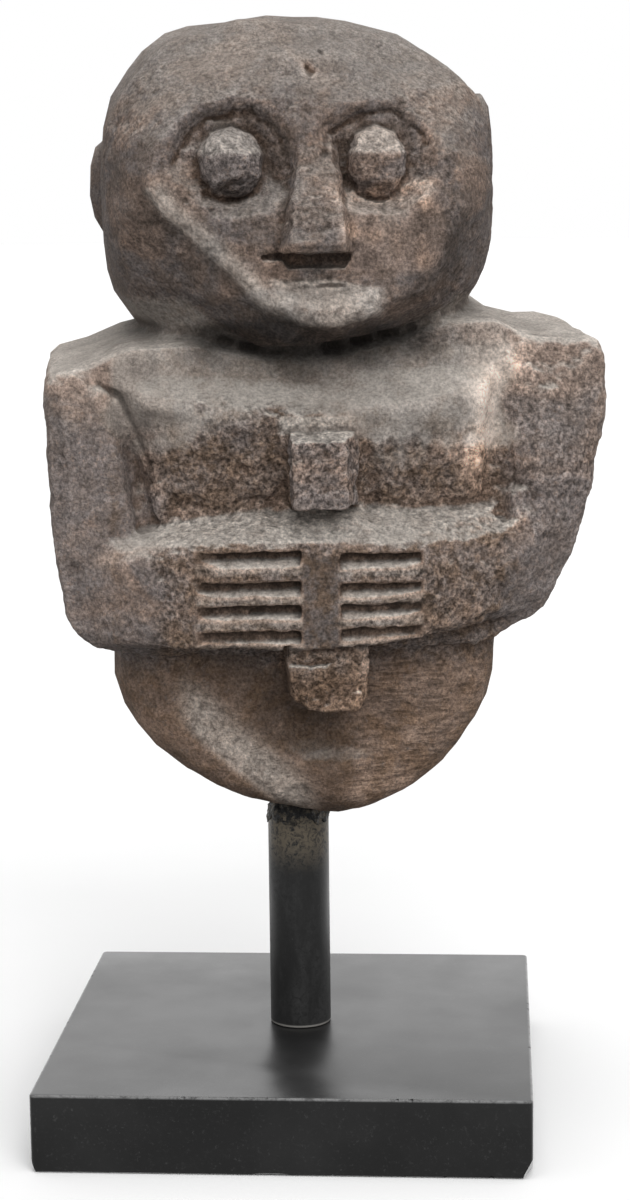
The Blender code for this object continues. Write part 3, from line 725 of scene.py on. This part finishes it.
def rod_material(settings):
    """Black paint gone satin with handling, greyer patches, and dust near the stone."""
    material, tree, shader = new_material("black_satin_paint")
    place = object_coordinates(tree)
    stretched = add_node(tree, "ShaderNodeMapping", {"Vector": place, "Scale": (1.0, 1.0, 0.25)})
    blotches = noise(tree, stretched.outputs["Vector"], 60.0, 5.0, 0.65)
    scuffs = noise(tree, place, 380.0, 4.0, 0.7, 0.8)
    worn = reckon(tree, "MULTIPLY", spread(tree, blotches, 0.36, 0.62),
                  spread(tree, scuffs, 0.3, 0.6))
    colour = blend_colours(tree, worn, settings.rod_colour, settings.rod_worn_colour)
    height = add_node(tree, "ShaderNodeSeparateXYZ", {"Vector": place}).outputs["Z"]
    near_top = spread(tree, height, ROD_HIGH.z - 0.034, ROD_HIGH.z - 0.008)
    stain = reckon(tree, "MULTIPLY", near_top, spread(tree, scuffs, 0.34, 0.58))
    colour = blend_colours(tree, stain, colour, settings.stain_colour)
    # A pale band painted round the rod's foot.
    foot = spread(tree, height, ROD_LOW.z + 1.6 * MM, ROD_LOW.z + 0.8 * MM, 0.0, 0.8)
    colour = blend_colours(tree, foot, colour, settings.pale_foot_colour)
    colour = blend_colours(tree, spread(tree, scuffs, 0.66, 0.78, 0.0, 0.5), colour,
                           settings.scuff_colour)
    tree.links.new(colour, shader.inputs["Base Color"])
    tree.links.new(spread(tree, blotches, 0.35, 0.7, 0.38, 0.58), shader.inputs["Roughness"])
    shader.inputs["Specular IOR Level"].default_value = 0.28
    add_bump(tree, shader, scuffs, 0.12 * MM, 0.6)
    return material


def make_setting(settings):
    """The lump of setting compound, with a ragged skirt over the end of the rod."""
    centre, radius = rod_axis()
    skirt = 4.5 * MM
    low = COLLAR_LOW.z - skirt
    bpy.ops.mesh.primitive_cylinder_add(vertices=96, radius=radius + 0.5 * MM,
                                        depth=COLLAR_HIGH.z - low,
                                        location=(centre.x, centre.y, (COLLAR_HIGH.z + low) / 2.0))
    piece = start_piece("setting_lump")
    piece.data.remesh_voxel_size = 0.7 * MM
    bpy.ops.object.voxel_remesh()
    points = read_points(piece.data)
    around = np.arctan2(points[:, 1] - centre.y, points[:, 0] - centre.x)
    share = np.clip((points[:, 2] - low) / (COLLAR_HIGH.z - low), 0.0, 1.0)
    taper = 1.0 - 0.26 * rise(share, 0.25, 1.0)
    ragged = np.sin(5.0 * around + 1.0) + 0.7 * np.sin(9.0 * around) + 0.5 * np.sin(17.0 * around)
    points[:, 0] = centre.x + (points[:, 0] - centre.x) * taper
    points[:, 1] = centre.y + (points[:, 1] - centre.y) * taper
    points[:, 2] += 1.2 * MM * ragged * (1.0 - rise(share, 0.0, 0.5))
    write_points(piece.data, points)
    displace(piece, cloud_texture("lumps", 0.0045, 2), 2.6 * MM, middle=0.55)
    displace(piece, cloud_texture("crumbs", 0.0016, 1), 0.9 * MM)
    piece.data.shade_smooth()
    piece.data.materials.append(setting_material(settings))
    return piece


def setting_material(settings):
    """Black resin mixed with grit, with a few shiny grains."""
    material, tree, shader = new_material("gritty_black_resin")
    place = object_coordinates(tree)
    lumps = noise(tree, place, 320.0, 4.0, 0.7)
    grit = noise(tree, place, 1400.0, 2.0, 0.6)
    colour = blend_colours(tree, spread(tree, lumps, 0.45, 0.7), settings.resin_colour,
                           settings.stain_colour)
    colour = blend_colours(tree, spread(tree, grit, 0.62, 0.74), colour, settings.scuff_colour)
    tree.links.new(colour, shader.inputs["Base Color"])
    tree.links.new(spread(tree, grit, 0.4, 0.7, 0.75, 0.3), shader.inputs["Roughness"])
    add_bump(tree, shader, grit, 0.5 * MM)
    return material


def make_slab(settings):
    size = SLAB_HIGH - SLAB_LOW
    bpy.ops.mesh.primitive_cube_add(size=1.0, location=(SLAB_LOW + SLAB_HIGH) / 2.0, scale=size)
    piece = start_piece("honed_slab")
    bevel_edges(piece, lambda a, b: abs(a.z - b.z) > size.z / 2.0, 3.0 * MM, 6)
    for level in (SLAB_LOW.z, SLAB_HIGH.z):
        bevel_edges(piece, lambda a, b: abs(a.z - level) + abs(b.z - level) < FLAT, 1.1 * MM, 3)
    chip_slab(piece, size)
    select_only(piece)
    bpy.ops.object.shade_smooth_by_angle(angle=math.radians(28.0))
    piece.data.materials.append(slab_material(settings))
    return piece


def chip_slab(piece, size):
    """Two broken lower corners, a long shallow bruise, and small nicks along the edges."""
    half = size.x / 2.0
    for side, reach, height, length in ((1.0, 4.6, 14.5, 26.0), (-1.0, 3.2, 11.0, 14.0)):
        corner = Vector((side * half, -half, SLAB_LOW.z))
        points = [corner + Vector(offset) * MM for offset in (
            (side * 2, -3, -2), (side * 2, -3, height), (side * 2, length, -2),
            (-side * reach * 1.5, -3, -2), (-side * reach, 2, -2), (side * 0.4, 5, height * 0.7))]
        cut_away(piece, make_chunk("corner_cutter", points))
    bpy.ops.mesh.primitive_ico_sphere_add(subdivisions=3, radius=0.01,
                                          location=(-0.005, -half - 0.0035, SLAB_LOW.z - 0.001),
                                          scale=(2.2, 0.5, 0.32))
    cut_away(piece, start_piece("bruise_cutter"))
    chance = random.Random(7)
    for count, start, step in ((16, Vector((-half, -half, SLAB_HIGH.z)), Vector((0, size.y, 0))),
                               (9, Vector((-half, -half, SLAB_HIGH.z)), Vector((size.x, 0, 0))),
                               (10, Vector((-half, -half, SLAB_LOW.z)), Vector((size.x, 0, 0))),
                               (8, Vector((half, -half, SLAB_HIGH.z)), Vector((0, size.y, 0)))):
        for number in range(count):
            share = 0.06 + 0.88 * (number + chance.uniform(0.1, 0.9)) / count
            radius = chance.uniform(0.9, 2.0) * MM
            bpy.ops.mesh.primitive_ico_sphere_add(subdivisions=1, radius=radius,
                                                  location=start + step * share,
                                                  rotation=(chance.random(), chance.random(), 0.0),
                                                  scale=(1.0, chance.uniform(0.7, 1.6), 0.6))
            cut_away(piece, start_piece("nick_cutter"))


def slab_material(settings):
    """Honed black stone, faintly clouded, worn pale along its arrises."""
    material, tree, shader = new_material("honed_black_stone")
    place = object_coordinates(tree)
    clouds = noise(tree, place, 14.0, 5.0, 0.6)
    fine = noise(tree, place, 700.0, 3.0, 0.7)
    scratches = noise(tree, place, 160.0, 5.0, 0.75, 1.2)
    parts = add_node(tree, "ShaderNodeSeparateXYZ", {"Vector": place})
    colour = blend_colours(tree, spread(tree, clouds, 0.35, 0.7), settings.slab_colour,
                           settings.slab_cloud_colour)
    half = (SLAB_HIGH.x - SLAB_LOW.x) / 2.0
    rim = None
    for axis, edge in (("X", half), ("Y", half)):
        near = spread(tree, reckon(tree, "ABSOLUTE", parts.outputs[axis]), edge - 1.5 * MM,
                      edge - 0.4 * MM)
        rim = near if rim is None else reckon(tree, "MAXIMUM", rim, near)
    top = spread(tree, parts.outputs["Z"], SLAB_HIGH.z - 1.6 * MM, SLAB_HIGH.z - 0.7 * MM)
    worn = reckon(tree, "MULTIPLY", reckon(tree, "MULTIPLY", rim, top),
                  spread(tree, scratches, 0.3, 0.6, 0.25, 1.0))
    colour = blend_colours(tree, worn, colour, settings.slab_worn_colour)
    scuff = reckon(tree, "MULTIPLY", spread(tree, scratches, 0.6, 0.74),
                   spread(tree, parts.outputs["X"], -0.02, 0.12, 0.12, 0.5))
    colour = blend_colours(tree, scuff, colour, settings.slab_scuff_colour)
    dusty = reckon(tree, "MULTIPLY", spread(tree, fine, 0.54, 0.70),
                   spread(tree, scratches, 0.46, 0.66, 0.1, 0.7))
    colour = blend_colours(tree, dusty, colour, settings.slab_scuff_colour)
    tree.links.new(colour, shader.inputs["Base Color"])
    tree.links.new(spread(tree, clouds, 0.3, 0.7, settings.slab_roughness - 0.04,
                          settings.slab_roughness + 0.06), shader.inputs["Roughness"])
    add_bump(tree, shader, fine, 0.03 * MM, 0.5)
    return material


# ---- stage ------------------------------------------------------------------------
def make_floor(settings):
    bpy.ops.mesh.primitive_circle_add(vertices=96, radius=settings.floor_radius,
                                      fill_type="NGON", location=(0.0, 0.0, -0.3 * MM))
    floor = start_piece("pale_floor")
    material, tree, shader = new_material("pale_paper")
    place = object_coordinates(tree)
    fibres = noise(tree, place, 9.0, 3.0, 0.5)
    colour = blend_colours(tree, spread(tree, fibres, 0.2, 0.8), settings.floor_colour,
                           [0.985 * channel for channel in settings.floor_colour])
    tree.links.new(colour, shader.inputs["Base Color"])
    shader.inputs["Roughness"].default_value = 0.9
    floor.data.materials.append(material)
    floor.visible_diffuse = False
    floor.visible_glossy = False
    return floor


def make_lights(settings):
    """A wide soft light in front, one overhead, and a pale surround."""
    for name, energy, direction in (("front_softbox", settings.key_energy, (-0.30, 1.0, -0.72)),
                                    ("overhead_softbox", settings.top_energy, (-0.1, 0.1, -1.0))):
        bpy.ops.object.light_add(type="SUN", location=(0.6, -0.8, 2.0))
        light = bpy.context.active_object
        light.name = name
        light.data.energy = energy
        light.data.angle = settings.softness
        light.rotation_euler = Vector(direction).to_track_quat("-Z", "Y").to_euler()
        light.visible_glossy = False

    world = bpy.data.worlds.new("studio_surround")
    bpy.context.scene.world = world
    world.use_nodes = True
    tree = world.node_tree
    background = tree.nodes["Background"]
    facing = add_node(tree, "ShaderNodeSeparateXYZ",
                      {"Vector": tree.nodes.new("ShaderNodeTexCoord").outputs["Generated"]})
    from_below = spread(tree, facing.outputs["Z"], -0.5, 0.25, settings.fill_below,
                        settings.fill_above)
    path = tree.nodes.new("ShaderNodeLightPath")
    walls = spread(tree, facing.outputs["Y"], -0.2, 0.7, settings.front_wall, settings.back_wall)
    lit = reckon(tree, "MAXIMUM", from_below,
                 reckon(tree, "MULTIPLY", path.outputs["Is Glossy Ray"], walls))
    seen = reckon(tree, "MAXIMUM", lit,
                  reckon(tree, "MULTIPLY", path.outputs["Is Camera Ray"], settings.backdrop))
    tree.links.new(seen, background.inputs["Strength"])
    background.inputs["Color"].default_value = (1.0, 1.0, 1.0, 1.0)
    bpy.context.scene.view_settings.view_transform = "Standard"


def make_camera():
    """Stands a little to the right, looking slightly down."""
    forward = Vector((math.sin(CAMERA_YAW) * math.cos(CAMERA_PITCH),
                      math.cos(CAMERA_YAW) * math.cos(CAMERA_PITCH), -math.sin(CAMERA_PITCH)))
    right = Vector((math.cos(CAMERA_YAW), -math.sin(CAMERA_YAW), 0.0))
    up = right.cross(forward)
    c, s = math.cos(CAMERA_ROLL), math.sin(CAMERA_ROLL)
    turned = Matrix((right * c + up * s, up * c - right * s, -forward)).transposed()
    bpy.ops.object.camera_add()
    camera = bpy.context.active_object
    camera.name = "studio_camera"
    camera.matrix_world = Matrix.Translation(CAMERA_PLACE) @ turned.to_4x4()
    camera.data.lens = CAMERA_LENS
    camera.data.sensor_width = 36.0
    bpy.context.scene.camera = camera


# ---- settings ---------------------------------------------------------------------
def colour_property(name, description, default):
    return FloatVectorProperty(name=name, description=description, default=default,
                               subtype="COLOR", size=3, min=0.0, max=1.0)


class StoneSettings(bpy.types.PropertyGroup):
    voxel: FloatProperty(name="Grain size", description="Size of the cells the stone is built from",
                         default=0.0013, min=0.0008, unit="LENGTH", precision=5)
    smoothing: IntProperty(name="Smoothing", description="Passes that wear the arrises round",
                           default=3, min=0, max=20)
    triangles: IntProperty(name="Triangles", description="Most triangles of the finished stone",
                           default=196000, min=1000)
    brown: colour_property("Brown", "Colour of the freshly worn stone", (0.210, 0.148, 0.108))
    mauve: colour_property("Mauve grey", "Colour of the smoother stone", (0.225, 0.195, 0.185))
    umber: colour_property("Umber", "Colour of the darker lower body", (0.188, 0.119, 0.077))
    earth: colour_property("Earth", "Colour of the dust in the creases", (0.380, 0.262, 0.196))
    slate: colour_property("Slate", "Colour of the blue-grey grains", (0.150, 0.139, 0.136))
    dust: colour_property("Dust", "Colour of the dust on upward faces", (0.460, 0.420, 0.380))


class MountSettings(bpy.types.PropertyGroup):
    rod_colour: colour_property("Rod", "Colour of the rod's paint", (0.022, 0.022, 0.022))
    rod_worn_colour: colour_property("Rod, worn", "Paint rubbed grey", (0.042, 0.042, 0.042))
    stain_colour: colour_property("Stain", "Stone dust on the rod and resin", (0.150, 0.125, 0.092))
    scuff_colour: colour_property("Scuffs", "Small pale marks", (0.13, 0.13, 0.13))
    pale_foot_colour: colour_property("Pale foot", "Pale band round the rod's foot", (0.30, 0.29, 0.27))
    resin_colour: colour_property("Resin", "Colour of the setting", (0.010, 0.010, 0.010))
    slab_colour: colour_property("Slab", "Colour of the slab", (0.010, 0.010, 0.010))
    slab_cloud_colour: colour_property("Slab clouding", "Paler clouds in it", (0.018, 0.018, 0.018))
    slab_worn_colour: colour_property("Slab edge", "Worn arrises", (0.20, 0.20, 0.20))
    slab_scuff_colour: colour_property("Slab scuffs", "Dry scuff marks", (0.06, 0.06, 0.06))
    slab_roughness: FloatProperty(name="Slab roughness", description="How far the slab is honed",
                                  default=0.33, min=0.0, max=1.0)


class StageSettings(bpy.types.PropertyGroup):
    floor_radius: FloatProperty(name="Floor radius", description="Radius of the pale floor",
                                default=30.0, unit="LENGTH")
    floor_colour: colour_property("Floor", "Colour of the floor", (0.97, 0.97, 0.97))
    key_energy: FloatProperty(name="Front light", description="Strength of the front softbox",
                              default=1.75, min=0.0)
    top_energy: FloatProperty(name="Top light", description="Strength of the overhead softbox",
                              default=1.25, min=0.0)
    softness: FloatProperty(name="Softness", description="How wide the softboxes look",
                            default=math.radians(46.0), subtype="ANGLE")
    fill_above: FloatProperty(name="Fill, above", description="Light from the surround",
                              default=0.46, min=0.0)
    fill_below: FloatProperty(name="Fill, below", description="Light back from the floor",
                              default=0.26, min=0.0)
    back_wall: FloatProperty(name="Back wall", description="White sweep seen in the gloss",
                             default=1.6, min=0.0)
    front_wall: FloatProperty(name="Front wall", description="Dim room seen in the gloss",
                              default=0.35, min=0.0)
    backdrop: FloatProperty(name="Backdrop", description="How bright the backdrop looks",
                            default=1.0, min=0.0)


# ---- operators --------------------------------------------------------------------
def finish_piece(piece, node):
    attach(piece, "root")
    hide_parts(node)


class FIGURE_OT_stone(bpy.types.Operator):
    """Make the weathered stone figure"""
    bl_idname = "figure.stone"
    bl_label = "Stone Figure"

    def execute(self, context):
        piece = make_stone(context.scene.figure_stone)
        finish_piece(piece, "stone_figure")
        return {"FINISHED"}


class FIGURE_OT_rod(bpy.types.Operator):
    """Make the painted rod"""
    bl_idname = "figure.rod"
    bl_label = "Rod"

    def execute(self, context):
        finish_piece(make_rod(context.scene.figure_mount), "support_rod")
        return {"FINISHED"}


class FIGURE_OT_setting(bpy.types.Operator):
    """Make the lump of setting compound between the rod and the stone"""
    bl_idname = "figure.setting"
    bl_label = "Setting"

    def execute(self, context):
        piece = make_setting(context.scene.figure_mount)
        finish_piece(piece, "setting_collar")
        return {"FINISHED"}


class FIGURE_OT_slab(bpy.types.Operator):
    """Make the honed slab with its chips"""
    bl_idname = "figure.slab"
    bl_label = "Slab"

    def execute(self, context):
        finish_piece(make_slab(context.scene.figure_mount), "base_slab")
        return {"FINISHED"}


class FIGURE_OT_stage(bpy.types.Operator):
    """Set up the floor, the lights and the camera"""
    bl_idname = "figure.stage"
    bl_label = "Stage"

    def execute(self, context):
        settings = context.scene.figure_stage
        make_floor(settings)
        make_lights(settings)
        make_camera()
        return {"FINISHED"}


class FIGURE_PT_panel(bpy.types.Panel):
    """Buttons and settings for the figure"""
    bl_idname = "FIGURE_PT_panel"
    bl_label = "Half Figure"
    bl_space_type = "VIEW_3D"
    bl_region_type = "UI"
    bl_category = "Half Figure"

    def draw(self, context):
        groups = (("figure_stone", ("figure.stone",)),
                  ("figure_mount", ("figure.rod", "figure.setting", "figure.slab")),
                  ("figure_stage", ("figure.stage",)))
        for group, operators in groups:
            box = self.layout.box()
            settings = getattr(context.scene, group)
            for key in settings.__annotations__:
                box.prop(settings, key)
            for operator in operators:
                box.operator(operator)


CLASSES = (StoneSettings, MountSettings, StageSettings, FIGURE_OT_stone, FIGURE_OT_rod,
           FIGURE_OT_setting, FIGURE_OT_slab, FIGURE_OT_stage, FIGURE_PT_panel)


def register():
    for item in CLASSES:
        bpy.utils.register_class(item)
    bpy.types.Scene.figure_stone = PointerProperty(type=StoneSettings)
    bpy.types.Scene.figure_mount = PointerProperty(type=MountSettings)
    bpy.types.Scene.figure_stage = PointerProperty(type=StageSettings)


def unregister():
    for name in ("figure_stone", "figure_mount", "figure_stage"):
        delattr(bpy.types.Scene, name)
    for item in reversed(CLASSES):
        bpy.utils.unregister_class(item)


def main():
    register()
    bpy.ops.figure.stone()
    bpy.ops.figure.rod()
    bpy.ops.figure.setting()
    bpy.ops.figure.slab()
    bpy.ops.figure.stage()


if __name__ == "__main__":
    main()
